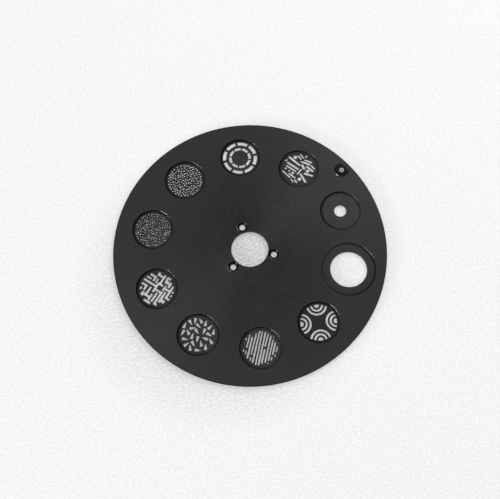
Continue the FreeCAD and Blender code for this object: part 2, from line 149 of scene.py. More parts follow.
# Stripes: two ends in millimetres, and the width as a share of the usual one.
STROKES = [
    ((-8.4, 3.6), (-8.4, 2.7), 0.8),
    ((-8.5, -2.6), (-8.5, -3.6), 0.8),
    ((-6.9, 5.8), (-7.2, -1.0), 0.9),
    ((-7.1, -3.0), (-7.1, -4.6), 0.8),
    ((-5.4, 4.8), (-5.7, -6.6), 1.1),
    ((-3.7, 7.2), (-4.1, -4.2), 0.9),
    ((-4.1, -5.8), (-4.0, -7.6), 0.8),
    ((-2.2, 8.8), (-2.5, -8.2), 1.0),
    ((-0.8, 9.0), (-0.7, -9.0), 0.9),
    ((0.9, 9.0), (0.8, -8.8), 1.1),
    ((2.6, 8.4), (2.1, 1.4), 0.9),
    ((2.3, -0.2), (2.3, -7.6), 1.1),
    ((4.1, 7.6), (3.9, -6.9), 1.0),
    ((5.7, 5.8), (5.4, -5.6), 0.9),
    ((5.4, -6.9), (5.4, -7.3), 0.7),
    ((5.6, 7.4), (5.6, 7.0), 0.7),
    ((7.1, 4.6), (7.0, -1.9), 1.1),
    ((6.9, -3.5), (6.8, -5.0), 0.9),
    ((8.6, 2.6), (8.5, -0.2), 0.8),
    ((8.4, -1.7), (8.3, -2.8), 0.8),
]
# Length of a stripe's side between two of its uneven points, and how its half width varies.
ROUGH_STEP, ROUGH_SHARES = 0.8, (0.78, 1.12)
STROKE_SEED = 5
# Shards: centre in millimetres, and the direction of the narrow end in degrees.
SHARDS = [
    ((-6.9, 5.5), 65),
    ((-3.8, 6.9), -60),
    ((-1.3, 7.7), -100),
    ((1.7, 7.6), 120),
    ((4.3, 6.2), 75),
    ((6.6, 4.0), 40),
    ((0.4, 4.9), -45),
    ((-2.8, 3.8), 5),
    ((8.4, 1.4), 80),
    ((-8.0, 1.6), -120),
    ((-5.2, 1.7), 115),
    ((-0.6, 2.0), -60),
    ((3.3, 1.8), -115),
    ((5.9, 0.0), -35),
    ((-3.0, -0.5), 70),
    ((-6.9, -2.0), -15),
    ((-0.3, -2.2), -105),
    ((3.7, -2.0), 155),
    ((-6.1, -4.8), 35),
    ((-2.6, -4.6), -65),
    ((1.6, -4.7), 100),
    ((6.8, -3.6), 120),
    ((-4.2, -6.7), 90),
    ((4.0, -6.6), 90),
    ((-0.2, -8.2), -10),
]
# Half lengths and rounding of a shard, in millimetres.
SHARD_REACH, SHARD_TIP, SHARD_BASE, SHARD_ROUNDING = 1.6, 0.2, 0.9, 0.35
# Rings of dashes, in millimetres: outer radius, width, gap, and the turn of the first in degrees.
# Each ring has the same number of dashes, with corners rounded like those of the bands below.
DASH_RINGS = [(9.7, 1.85, 1.2, 0.0), (6.25, 1.5, 0.65, 22.5)]
DASHES = 8
BAND_ROUNDING = 0.18
# Corner arcs, in millimetres: the image's radius, the distance of the corner centres from the
# middle, the disc's radius, the inner radii of the bands and their width.
ARC_IMAGE, ARC_CENTRE, ARC_DISC, ARC_BANDS, ARC_WIDTH = 9.8, 9.4, 1.4, (2.4, 4.5), 1.1

# Half sections of the collar and the magnet: radius and height above the underside, in
# millimetres. Between the collar's edge and its bore, the crest is part of an ellipse.
COLLAR_FOOT = [(0, 0), (2.5, 0), (2.5, 2.0), (4.1, 2.0), (4.1, 2.05)]
COLLAR_EDGE = [(4.075, 2.12), (4.065, 2.132), (3.805, 2.435), (3.795, 2.447)]
COLLAR_BORE = [(1.75, 2.78), (1.55, 2.52), (1.53, 0.5), (0, 0.5)]
MAGNET_SECTION = [(0, 0.5), (1.5, 0.5), (1.5, 2.48), (1.48, 2.5), (0.7, 2.5), (0, 2.5)]
CREST_CENTRE, CREST_WIDTH, CREST_HEIGHT = (2.1, 2.05), 2.0, 0.75
# The edge's faces are known by the upward share of their normal.
EDGE_LEAN = (0.62, 0.68)

# Lamps: direction and height in degrees, distance and size in metres, and power.
Lamp = namedtuple("Lamp", "azimuth elevation distance width height watts")
LAMPS = {
    "low_window": Lamp(212, 13, 1.2, 0.8, 0.15, 9.5),
    "room_light": Lamp(50, 34, 1.3, 0.9, 0.9, 9.5),
}
ROOM_STRENGTH = 0.6
FLOOR_RADIUS = 6.0
FLOOR_LEVEL = -0.05 * MM
# Shares of the floor's colour in the open and in the shade, on the raised parts of its tooth and
# in the hollows, and the share of that colour that the camera sees as it is.
FLOOR_RAISED = (1.0, 0.80)
FLOOR_HOLLOW = (0.89, 0.46)
FLOOR_SEEN = 0.45
# Camera: place in metres, turns about the axes, sensor and lens in millimetres, and how near and
# far it sees in metres.
CAMERA_PLACE = Vector((0.08, -130.86, 412.61)) * MM
CAMERA_TURN = (math.radians(17.628), 0.0, math.radians(-2.265))
CAMERA_SENSOR, CAMERA_LENS = 36.0, 56.64
CAMERA_RANGE = (0.01, 20.0)


class WheelSizes(bpy.types.PropertyGroup):
    """Sizes of the details that the scene adds to the frame."""

    edge_break: FloatProperty(
        name="Edge break", description="Width of the small bevel on the plate's edges",
        default=0.28 * MM, min=0.0, unit="LENGTH", precision=5)
    wire_width: FloatProperty(
        name="Ring wire", description="Thickness of the spring rings' wire",
        default=0.55 * MM, min=0.0, unit="LENGTH", precision=5)
    ring_gap: FloatProperty(
        name="Ring gap", description="Angle left open between a ring's two ends",
        default=math.radians(58), subtype="ANGLE")
    image_width: FloatProperty(
        name="Image width", description="Diameter of the round image in a gobo",
        default=19.6 * MM, unit="LENGTH", precision=5)
    stick_width: FloatProperty(
        name="Stick width", description="Usual width of a stick",
        default=1.3 * MM, unit="LENGTH", precision=5)
    stroke_width: FloatProperty(
        name="Stroke width", description="Usual width of a stripe",
        default=0.82 * MM, unit="LENGTH", precision=5)
    dot_spacing: FloatProperty(
        name="Dot spacing", description="Least distance between two dots of the coarser gobo",
        default=1.18 * MM, unit="LENGTH", precision=5)
    dot_width: FloatProperty(
        name="Dot width", description="Usual width of a dot of the coarser gobo",
        default=1.0 * MM, unit="LENGTH", precision=5)
    fine_dot_spacing: FloatProperty(
        name="Fine dot spacing", description="Least distance between two dots of the finer gobo",
        default=0.98 * MM, unit="LENGTH", precision=5)
    fine_dot_width: FloatProperty(
        name="Fine dot width", description="Usual width of a dot of the finer gobo",
        default=0.79 * MM, unit="LENGTH", precision=5)
    dot_seed: IntProperty(
        name="Dot seed", description="Chooses one of the loose arrangements of the dots",
        default=4)


def colour_property(name, description, default):
    return FloatVectorProperty(
        name=name, description=description, default=default, size=3, min=0.0, max=1.0,
        subtype="COLOR")


class WheelColours(bpy.types.PropertyGroup):
    """Colours of the wheel's finishes and of the stage."""

    plate: colour_property("Plate", "Black anodised plate", (0.0056, 0.0057, 0.0066))
    # Used both for real rubbing and for a painted sheen that greys the plate towards its rim.
    plate_rubbed_and_sheen: colour_property(
        "Rubbed plate", "Plate where handling has greyed it", (0.0190, 0.0191, 0.0214))
    speckle: colour_property("Speckle", "Lighter grains of the plate", (0.030, 0.0301, 0.0322))
    dust: colour_property("Dust", "Specks of dust on the plate", (0.16, 0.16, 0.16))
    recess: colour_property(
        "Recess", "Wiped floor of the open position's recess", (0.0265, 0.0255, 0.0245))
    # Painted shade: the recess's floor darker at its edge, beside its wall.
    recess_corner_shade: colour_property(
        "Recess edge", "Edge of that recess, out of a cloth's reach", (0.0012, 0.0012, 0.0014))
    # Painted shade: the cut walls and chamfers, blacker than the plate's faces.
    shaded_wall: colour_property("Wall", "Cut walls and chamfers", (0.0008, 0.0008, 0.0010))
    shaded_wall_patch: colour_property(
        "Lighter wall", "Lighter patches of walls and chamfers", (0.0026, 0.0026, 0.0030))
    gobo: colour_property("Gobo", "Blackened steel of the gobos", (0.0123, 0.0118, 0.0116))
    # Painted shade: the gobo's rim, where its seat's wall shades it.
    soot: colour_property("Soot", "Gobo where its ring rubs it", (0.0008, 0.0008, 0.0008))
    wire: colour_property("Wire", "Spring wire of the rings", (0.0008, 0.0008, 0.0009))
    # Painted light: the rings lighter towards the right, over patches of worn oxide.
    wire_worn_and_lit: colour_property(
        "Worn wire", "Spring wire where its oxide has worn off", (0.0300, 0.0300, 0.0300))
    collar: colour_property("Collar", "Gloss black collar", (0.0018, 0.0018, 0.0022))
    collar_haze: colour_property("Collar haze", "Handling haze", (0.004, 0.004, 0.005))
    magnet: colour_property("Magnet", "Plating of the index magnet", (0.265, 0.243, 0.236))
    floor: colour_property("Floor", "Pale floor", (0.975, 0.975, 0.97))
    room: colour_property("Room", "Light from all round", (0.985, 0.985, 0.99))
    backdrop: colour_property("Backdrop", "Room as the camera sees it", (1.0, 1.0, 1.0))


def sizes():
    return bpy.context.scene.wheel_sizes


def colours():
    return bpy.context.scene.wheel_colours


# Node trees


def add(tree, kind, inputs=None, **settings):
    """New node. Its inputs take a value or another node's output socket."""
    node = tree.nodes.new(kind)
    for name, value in settings.items():
        setattr(node, name, value)
    for key, value in (inputs or {}).items():
        if isinstance(value, bpy.types.NodeSocket):
            tree.links.new(value, node.inputs[key])
        else:
            node.inputs[key].default_value = value
    return node


def new_group(name, kind, inputs, outputs):
    """Empty node group with named sockets. Each row is name, socket type and default."""
    tree = bpy.data.node_groups.new(name, kind)
    for in_out, rows in (("INPUT", inputs), ("OUTPUT", outputs)):
        for label, socket_type, default in rows:
            socket = tree.interface.new_socket(name=label, in_out=in_out, socket_type=socket_type)
            if default is not None:
                socket.default_value = default
    return tree, tree.nodes.new("NodeGroupInput").outputs, tree.nodes.new("NodeGroupOutput").inputs


def shared_group(name):
    """Decorator for a function that fills a node group, which is made at its first use only."""
    def wrap(build):
        def get():
            return bpy.data.node_groups.get(name) or build(name)
        return get
    return wrap


def maths(tree, operation, *values, clamp=False):
    inputs = dict(enumerate(values))
    return add(tree, "ShaderNodeMath", inputs, operation=operation, use_clamp=clamp).outputs[0]


def link(tree, source, target):
    tree.links.new(source, target)


def place_of(tree):
    """Place of the shaded point in the wheel's own coordinates."""
    return add(tree, "ShaderNodeTexCoord").outputs["Object"]


def coordinates(tree):
    """The three coordinates of that place."""
    return add(tree, "ShaderNodeSeparateXYZ", {0: place_of(tree)}).outputs


def distance_from(tree, point):
    """Distance of the shaded point from a point of the wheel."""
    inputs = {0: place_of(tree), 1: point}
    return add(tree, "ShaderNodeVectorMath", inputs, operation="DISTANCE").outputs["Value"]


def ranged(tree, value, to, source=(0.3, 0.7)):
    """Value carried over from one range to another. The usual source is a noise's middle part."""
    return add(tree, "ShaderNodeMapRange", {
        "Value": value, "From Min": source[0], "From Max": source[1],
        "To Min": to[0], "To Max": to[1]}).outputs[0]


def mixed(tree, factor, first, second):
    """Colour between two colours."""
    node = add(tree, "ShaderNodeMix", data_type="RGBA")
    link(tree, factor, node.inputs["Factor"])
    for socket, value in ((node.inputs[6], first), (node.inputs[7], second)):
        if isinstance(value, bpy.types.NodeSocket):
            link(tree, value, socket)
        else:
            socket.default_value = (*value, 1.0)
    return node.outputs[2]


def group_node(tree, group, inputs):
    node = tree.nodes.new("ShaderNodeGroup")
    node.node_tree = group
    for key, value in inputs.items():
        node.inputs[key].default_value = value
    return node


# Effects that several finishes share


@shared_group("Fine grain")
def grain_effect(name):
    """Fine blasted grain: a height for a bump and a slow variation for colour and gloss."""
    tree, given, out = new_group(
        name, "ShaderNodeTree",
        [("Grain size", "NodeSocketFloat", 0.25 * MM), ("Patch size", "NodeSocketFloat", 20 * MM),
         ("Stretch", "NodeSocketVector", (1.0, 1.0, 1.0))],
        [("Height", "NodeSocketFloat", None), ("Patches", "NodeSocketFloat", None)])
    place = place_of(tree)
    stretched = add(
        tree, "ShaderNodeVectorMath", {0: place, 1: given["Stretch"]}, operation="DIVIDE")
    fine = add(tree, "ShaderNodeTexNoise", {
        "Vector": stretched.outputs[0], "Scale": maths(tree, "DIVIDE", 1.0, given["Grain size"]),
        "Detail": 3.0, "Roughness": 0.6})
    broad = add(tree, "ShaderNodeTexNoise", {
        "Vector": place, "Scale": maths(tree, "DIVIDE", 1.0, given["Patch size"]),
        "Detail": 4.0, "Roughness": 0.55})
    link(tree, fine.outputs[0], out["Height"])
    link(tree, broad.outputs[0], out["Patches"])
    return tree


@shared_group("Wiped arcs")
def wipe_effect(name):
    """Faint arcs left by wiping and turning the wheel by hand, about its axis."""
    tree, given, out = new_group(
        name, "ShaderNodeTree",
        [("Arc spacing", "NodeSocketFloat", 0.9 * MM), ("Arc length", "NodeSocketFloat", 0.5)],
        [("Mask", "NodeSocketFloat", None)])
    x, y, _ = coordinates(tree)
    flat = add(tree, "ShaderNodeCombineXYZ", {0: x, 1: y})
    radius = add(tree, "ShaderNodeVectorMath", {0: flat.outputs[0]}, operation="LENGTH")
    across = maths(tree, "DIVIDE", radius.outputs["Value"], given["Arc spacing"])
    along = maths(tree, "DIVIDE", maths(tree, "ARCTAN2", y, x), given["Arc length"])
    polar = add(tree, "ShaderNodeCombineXYZ", {0: across, 1: along})
    streaks = add(tree, "ShaderNodeTexNoise", {
        "Vector": polar.outputs[0], "Scale": 1.0, "Detail": 2.0})
    link(tree, ranged(tree, streaks.outputs[0], UNIT, (0.62, 0.74)), out["Mask"])
    return tree


@shared_group("Dust specks")
def dust_effect(name):
    """Sparse specks of pale dust."""
    tree, given, out = new_group(
        name, "ShaderNodeTree",
        [("Spacing", "NodeSocketFloat", 4 * MM), ("Speck size", "NodeSocketFloat", 0.05)],
        [("Mask", "NodeSocketFloat", None)])
    cells = add(tree, "ShaderNodeTexVoronoi", {
        "Vector": place_of(tree), "Scale": maths(tree, "DIVIDE", 1.0, given["Spacing"]),
        "Randomness": 1.0})
    near = maths(tree, "LESS_THAN", cells.outputs["Distance"], given["Speck size"])
    pick = add(tree, "ShaderNodeTexWhiteNoise", {"Vector": cells.outputs["Position"]})
    few = maths(tree, "GREATER_THAN", pick.outputs["Value"], 0.6)
    link(tree, maths(tree, "MULTIPLY", near, few), out["Mask"])
    return tree


# Finishes


def new_finish(name, grain_size, patch_size, stretch=(1.0, 1.0, 1.0)):
    """Material with the shared grain: also its tree and shader, and the grain's two outputs."""
    material = bpy.data.materials.new(name)
    material.use_nodes = True
    tree = material.node_tree
    grain = group_node(tree, grain_effect(), {
        "Grain size": grain_size, "Patch size": patch_size, "Stretch": stretch})
    shader = tree.nodes["Principled BSDF"]
    return material, tree, shader, grain.outputs["Height"], grain.outputs["Patches"]


def set_look(tree, shader, colour, noise, roughness, specular):
    """Colour, a roughness that follows a noise between two values, and the specular level."""
    link(tree, colour, shader.inputs["Base Color"])
    link(tree, ranged(tree, noise, roughness), shader.inputs["Roughness"])
    shader.inputs["Specular IOR Level"].default_value = specular


def add_bump(tree, shader, height, strength, distance):
    bump = add(tree, "ShaderNodeBump", {
        "Strength": strength, "Distance": distance, "Height": height})
    link(tree, bump.outputs[0], shader.inputs["Normal"])


def finish_anodised():
    """Black anodising with fine grain, wiped arcs and dust, and a painted sheen that greys it
    towards the rim.
    """
    material, tree, shader, height, patches = new_finish(
        "black_anodised", grain_size=0.8 * MM, patch_size=34 * MM, stretch=(1.7, 1.0, 1.0))
    paint = colours()
    arcs = group_node(tree, wipe_effect(), {"Arc spacing": 0.8 * MM, "Arc length": 0.55})
    dust = group_node(tree, dust_effect(), {"Spacing": 5.5 * MM, "Speck size": 0.022})
    uneven = ranged(tree, patches, (0.0, 0.5), (0.35, 0.72))
    # Painted sheen: the plate greyer towards its rim.
    rim_sheen = ranged(tree, distance_from(tree, AXIS_FOOT), (0.0, 0.95), RIM_SHEEN_REACH)
    greyed = maths(
        tree, "MULTIPLY_ADD", arcs.outputs[0], 0.3, maths(tree, "ADD", uneven, rim_sheen),
        clamp=True)
    rubbed_and_sheen = mixed(tree, greyed, paint.plate, paint.plate_rubbed_and_sheen)
    grains = ranged(tree, height, (0.0, 0.4), (0.38, 0.62))
    dusty = mixed(tree, dust.outputs[0], mixed(tree, grains, rubbed_and_sheen, paint.speckle), paint.dust)

    recess = maths(tree, "COMPARE", coordinates(tree)[2], RECESS_FLOOR, RECESS_SLACK)
    wiped = mixed(tree, maths(tree, "MULTIPLY", recess, 0.65), dusty, paint.recess)
    # Painted shade in the corner of the recess, beside its wall.
    corner_shade = ranged(tree, distance_from(tree, RECESS_SHADE_CENTRE), UNIT, RECESS_SHADE_REACH)
    colour = mixed(tree, maths(tree, "MULTIPLY", recess, corner_shade), wiped, paint.recess_corner_shade)
    set_look(tree, shader, colour, patches, roughness=(0.50, 0.42), specular=0.18)
    shader.inputs["Anisotropic"].default_value = 0.84
    shader.inputs["Anisotropic Rotation"].default_value = 0.25
    add_bump(tree, shader, height, strength=0.35, distance=0.02 * MM)
    return material


def patched_finish(name, tones, grain_size, patch_size, roughness, specular, metallic=0.0):
    """Finish in two tones, patch by patch."""
    material, tree, shader, height, patches = new_finish(name, grain_size, patch_size)
    colour = mixed(tree, ranged(tree, patches, UNIT), *tones)
    set_look(tree, shader, colour, height, roughness, specular)
    shader.inputs["Metallic"].default_value = metallic
    return material


def finish_cut(name, gloss):
    """Cut walls and chamfers of the plate, with painted shade that makes them blacker than its
    faces.
    """
    tones = colours().shaded_wall, colours().shaded_wall_patch
    return patched_finish(
        name, tones, grain_size=0.5 * MM, patch_size=6 * MM, roughness=(0.20, 0.24),
        specular=gloss)


def finish_collar(name, gloss):
    """Gloss black with fine handling haze."""
    tones = colours().collar, colours().collar_haze
    return patched_finish(
        name, tones, grain_size=0.4 * MM, patch_size=3 * MM, roughness=(0.08, 0.14),
        specular=gloss)


def finish_magnet():
    """Dull nickel plating with a slight warm tone and small darker spots."""
    plating = colours().magnet
    tones = plating, [channel * 0.8 for channel in plating]
    return patched_finish(
        "plated_magnet", tones, grain_size=0.2 * MM, patch_size=1.2 * MM, roughness=(0.4, 0.55),
        specular=0.5, metallic=0.35)


def finish_gobo(design):
    """Blackened thin sheet, a little uneven, in its own tone, with painted shade at its rim where
    the seat's wall shades it.
    """
    look = DESIGNS[design]
    material, tree, shader, height, patches = new_finish(
        f"blackened_{design}", grain_size=0.6 * MM, patch_size=5 * MM)
    dark = [channel * look.tone for channel in colours().gobo]
    light = [channel * 2.0 for channel in dark]
    both = maths(tree, "ADD", ranged(tree, height, UNIT), ranged(tree, patches, UNIT))
    face = mixed(tree, maths(tree, "MULTIPLY", both, 0.5), dark, light)
    centre, _, top = centre_of(f"gobo_{design}")
    # Painted shade at the gobo's rim, reaching further in on the left.
    seat_shade_centre = (centre.x + SEAT_SHADE_SHIFT, centre.y, top)
    rim = ranged(tree, distance_from(tree, seat_shade_centre), (0.0, look.soot), SEAT_SHADE_REACH)
    colour = mixed(tree, rim, face, colours().soot)
    set_look(tree, shader, colour, height, roughness=(0.42, 0.55), specular=0.12)
    add_bump(tree, shader, height, strength=0.2, distance=0.015 * MM)
    return material


def finish_wire(design):
    """Black oxide on drawn spring wire, greyer towards the right: patches of worn oxide with
    painted light on the ring's right side.
    """
    material, tree, shader, height, patches = new_finish(
        f"spring_wire_{design}", grain_size=0.15 * MM, patch_size=2.5 * MM)
    centre, _, _ = centre_of(f"gobo_{design}")
    across = coordinates(tree)[0]
    # Painted light: the ring lighter from left to right.
    side = ranged(
        tree, across, (0.0, DESIGNS[design].wear), (centre.x + SIDE_LIGHT_LEFT, centre.x + SIDE_LIGHT_RIGHT))
    worn_and_lit = maths(tree, "MULTIPLY", side, ranged(tree, patches, (0.7, 1.0)))
    colour = mixed(tree, worn_and_lit, colours().wire, colours().wire_worn_and_lit)
    set_look(tree, shader, colour, height, roughness=(0.24, 0.36), specular=0.07)
    return material


def seen_share(tree, share):
    """The share for rays from the camera, from reflections and through glass, else nothing."""
    path = add(tree, "ShaderNodeLightPath").outputs
    mirrored = maths(tree, "MAXIMUM", path["Is Glossy Ray"], path["Is Transmission Ray"])
    return maths(tree, "MULTIPLY", maths(tree, "MAXIMUM", path["Is Camera Ray"], mirrored), share)


def finish_floor():
    """Pale plain floor with a faint tooth, with painted shade that makes it greyer under the wheel
    and a little beyond it.

    The camera and reflections see it lifted towards its own colour.
    """
    material, tree, shader, height, _ = new_finish(
        "pale_floor", grain_size=1.0 * MM, patch_size=60 * MM, stretch=(1.6, 1.0, 1.0))
    shade = ranged(tree, distance_from(tree, SHADE_CENTRE), (0.85, 0.0), SHADE_REACH)
    raised, hollow = (
        mixed(tree, shade, *([channel * share for channel in colours().floor] for share in shares))
        for shares in (FLOOR_RAISED, FLOOR_HOLLOW))
    colour = mixed(tree, ranged(tree, height, UNIT, (0.36, 0.64)), raised, hollow)
    link(tree, colour, shader.inputs["Base Color"])
    shader.inputs["Roughness"].default_value = 0.9
    shader.inputs["Specular IOR Level"].default_value = 0.1
    glow = add(tree, "ShaderNodeEmission", {"Color": colour, "Strength": 1.0})
    blend = add(tree, "ShaderNodeMixShader", {
        0: seen_share(tree, FLOOR_SEEN), 1: shader.outputs[0], 2: glow.outputs[0]})
    link(tree, blend.outputs[0], tree.nodes["Material Output"].inputs["Surface"])
    return material


# Shapes


def new_object(name, data):
    item = bpy.data.objects.new(name, data)
    bpy.context.scene.collection.objects.link(item)
    return item


def finished(piece, nodes):
    """Replace what modifiers and node trees make by a plain mesh, and tie it to the wheel."""
    graph = bpy.context.evaluated_depsgraph_get()
    mesh = bpy.data.meshes.new_from_object(
        piece.evaluated_get(graph), preserve_all_data_layers=True, depsgraph=graph)
    mesh.name = piece.name
    if not mesh.polygons:
        raise RuntimeError(f"{piece.name} came out empty")
    if piece.type == "MESH":
        piece.modifiers.clear()
        piece.data = mesh
    else:
        name = piece.name
        bpy.data.objects.remove(piece)
        piece = new_object(name, mesh)
    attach(piece, "root")
    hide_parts(*nodes)
    return piece


def merged_copy(node_name):
    """Copy of a node's mesh with its loose triangles joined and flat areas made whole."""
    shape = bmesh.new()
    shape.from_mesh(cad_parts[node_name].data)
    bmesh.ops.remove_doubles(shape, verts=shape.verts, dist=WELD)
    bmesh.ops.dissolve_limit(
        shape, angle_limit=math.radians(0.5), verts=shape.verts, edges=shape.edges,
        use_dissolve_boundaries=False)
    mesh = mesh_of(shape, node_name)
    mesh.materials.clear()
    return mesh


def mesh_of(shape, name):
    """Mesh of a finished bmesh, which is freed."""
    mesh = bpy.data.meshes.new(name)
    shape.to_mesh(mesh)
    shape.free()
    return mesh


def lathe(name, profile, centre, steps=72):
    """Solid turned about an upright axis. The profile runs from axis to axis, in millimetres."""
    shape = bmesh.new()
    rings = []
    for radius, height in profile:
        if radius == 0:
            rings.append([shape.verts.new((0, 0, height * MM))])
            continue
        rings.append([
            shape.verts.new((radius * MM * math.cos(a), radius * MM * math.sin(a), height * MM))
            for a in (math.tau * step / steps for step in range(steps))])
    for lower, upper in zip(rings, rings[1:]):
        for step in range(steps):
            following = (step + 1) % steps
            corners = [lower[step % len(lower)], lower[following % len(lower)],
                       upper[following % len(upper)], upper[step % len(upper)]]
            shape.faces.new(dict.fromkeys(corners))
    bmesh.ops.recalc_face_normals(shape, faces=shape.faces)
    for face in shape.faces:
        face.smooth = True
    bmesh.ops.translate(shape, verts=shape.verts, vec=centre)
    return new_object(name, mesh_of(shape, name))


def centre_of(node_name):
    """Middle of a node's box, and the heights of its underside and its top."""
    low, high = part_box(node_name)
    return (low + high) / 2, low.z, high.z


# Outlines of cut-outs, in millimetres about a gobo's centre


def arc(centre, radius, first, last, steps):
    angles = [math.radians(first + (last - first) * step / steps) for step in range(steps + 1)]
    return [(centre[0] + radius * math.cos(a), centre[1] + radius * math.sin(a)) for a in angles]


def directions(turn):
    """Unit vectors along a direction in degrees and to its left."""
    along = Vector((math.cos(math.radians(turn)), math.sin(math.radians(turn))))
    return along, Vector((-along.y, along.x))


def direction_of(start, end):
    return math.degrees(math.atan2(end[1] - start[1], end[0] - start[0]))


def slot(start, end, width):
    """Straight slot with round ends."""
    turn = direction_of(start, end)
    far = arc(end, width / 2, turn - 90, turn + 90, 7)
    return far + arc(start, width / 2, turn + 90, turn + 270, 7)


def rough_slot(start, end, width, chance):
    """Slot with uneven sides and pointed ends, as a hand-drawn stripe has."""
    along, aside = directions(direction_of(start, end))
    length = math.dist(start, end)
    count = max(2, round(length / ROUGH_STEP))
    left, right = [], []
    for step in range(count + 1):
        point = Vector(start) + along * (length * step / count)
        left.append(point + aside * (width / 2 * chance.uniform(*ROUGH_SHARES)))
        right.append(point - aside * (width / 2 * chance.uniform(*ROUGH_SHARES)))
    overhang = along * (width * 0.4)
    return [*right, Vector(end) + overhang, *left[::-1], Vector(start) - overhang]


def rounded(points, radius, steps=3):
    """Polygon with each corner rounded off."""
    result = []
    for number, corner in enumerate(points):
        corner = Vector(corner)
        ends = []
        for other in (points[number - 1], points[(number + 1) % len(points)]):
            side = Vector(other) - corner
            ends.append(corner + side.normalized() * min(radius, side.length * 0.45))
        for step in range(steps + 1):
            t = step / steps
            result.append(ends[0] * (1 - t) ** 2 + corner * (2 * t * (1 - t)) + ends[1] * t**2)
    return result


def stick_outlines():
    width = sizes().stick_width / MM
    sticks = [slot(start, end, width * share) for start, end, share in STICKS]
    discs = [arc(centre, width * share / 2, 0, 360, 18)[:-1] for centre, share in STICK_DOTS]
    return sticks + discs


def stripe_outlines():
    chance = random.Random(STROKE_SEED)
    width = sizes().stroke_width / MM
    return [rough_slot(start, end, width * share, chance) for start, end, share in STROKES]


def shard_outlines():
    outlines = []
    for centre, turn in SHARDS:
        along, aside = directions(turn)
        tip = Vector(centre) + along * SHARD_REACH
        base = Vector(centre) - along * SHARD_REACH
        corners = [tip + aside * SHARD_TIP, base + aside * SHARD_BASE,
                   base - aside * SHARD_BASE, tip - aside * SHARD_TIP]
        outlines.append(rounded(corners, SHARD_ROUNDING))
    return outlines


def dash_outlines():
    """Rings of dashes. The inner ones sit half a step round from the outer ones."""
    outlines = []
    step_angle = 360 / DASHES
    for outer, width, gap, first in DASH_RINGS:
        inner = outer - width
        half = step_angle / 2 - math.degrees(gap / (inner + outer))
        for step in range(DASHES):
            turn = first + step_angle * step
            corners = arc((0, 0), outer, turn - half, turn + half, 10)
            corners += arc((0, 0), inner, turn + half, turn - half, 8)
            outlines.append(rounded(corners, BAND_ROUNDING, 2))
    return outlines


def corner_arc_outlines():
    """A disc and two bands about each of four corner centres, cut off by the round image."""
    def edge_of(radius):
        across = (ARC_IMAGE**2 - ARC_CENTRE**2 - radius**2) / (2 * ARC_CENTRE * radius)
        end = math.degrees(math.acos(across))
        return arc((ARC_CENTRE, 0), radius, end, 360 - end, 22)

    disc = edge_of(ARC_DISC)
    first, last = (direction_of((0, 0), end) for end in (disc[0], disc[-1]))
    shapes = [disc + arc((0, 0), ARC_IMAGE, last, first, 5)[1:-1]]
    for inner in ARC_BANDS:
        band = edge_of(inner) + edge_of(inner + ARC_WIDTH)[::-1]
        shapes.append(rounded(band, BAND_ROUNDING, 2))
    turns = [Matrix.Rotation(math.pi / 2 * quarter, 2) for quarter in range(4)]
    return [[turn @ Vector(point) for point in shape] for turn in turns for shape in shapes]


# Geometry node trees


SHEET_INPUTS = [
    ("Blank radius", "NodeSocketFloat", BLANK_RADIUS),
    ("Thickness", "NodeSocketFloat", 0.5 * MM),
    ("Turn", "NodeSocketFloat", 0.0),
    ("Centre", "NodeSocketVector", None),
    ("Finish", "NodeSocketMaterial", None),
]


def joined(tree, *parts):
    node = add(tree, "GeometryNodeJoinGeometry")
    for part in parts:
        link(tree, part, node.inputs[0])
    return node.outputs[0]


def end_tree(tree, geometry, finish, socket):
    """Close a tree with whole geometry in its finish."""
    whole = add(tree, "GeometryNodeRealizeInstances", {0: geometry})
    dressed = add(tree, "GeometryNodeSetMaterial", {
        "Geometry": whole.outputs[0], "Material": finish})
    link(tree, dressed.outputs[0], socket)


@shared_group("Perforated sheet")
def sheet_tree(name):
    """Fills closed outlines, leaving the inner ones as holes, and makes a sheet of them."""
    tree, given, out = new_group(
        name, "GeometryNodeTree",
        [("Outlines", "NodeSocketGeometry", None), *SHEET_INPUTS],
        [("Sheet", "NodeSocketGeometry", None)])
    rim = add(tree, "GeometryNodeCurvePrimitiveCircle", {
        "Resolution": 96, "Radius": given["Blank radius"]})
    edges = joined(tree, given["Outlines"], rim.outputs["Curve"])
    lower = add(tree, "GeometryNodeFillCurve", {"Curve": edges}, mode="TRIANGLES").outputs[0]
    upper = add(tree, "GeometryNodeExtrudeMesh", {
        "Mesh": lower, "Offset Scale": given["Thickness"], "Individual": False})
    under = add(tree, "GeometryNodeFlipFaces", {"Mesh": lower})
    closed = joined(tree, upper.outputs["Mesh"], under.outputs[0])
    welded = add(tree, "GeometryNodeMergeByDistance", {
        "Geometry": closed, "Distance": WELD})
    turn = add(tree, "ShaderNodeCombineXYZ", {2: given["Turn"]})
    placed = add(tree, "GeometryNodeTransform", {
        "Geometry": welded.outputs[0], "Translation": given["Centre"],
        "Rotation": turn.outputs[0]})
    end_tree(tree, placed.outputs[0], given["Finish"], out["Sheet"])
    return tree


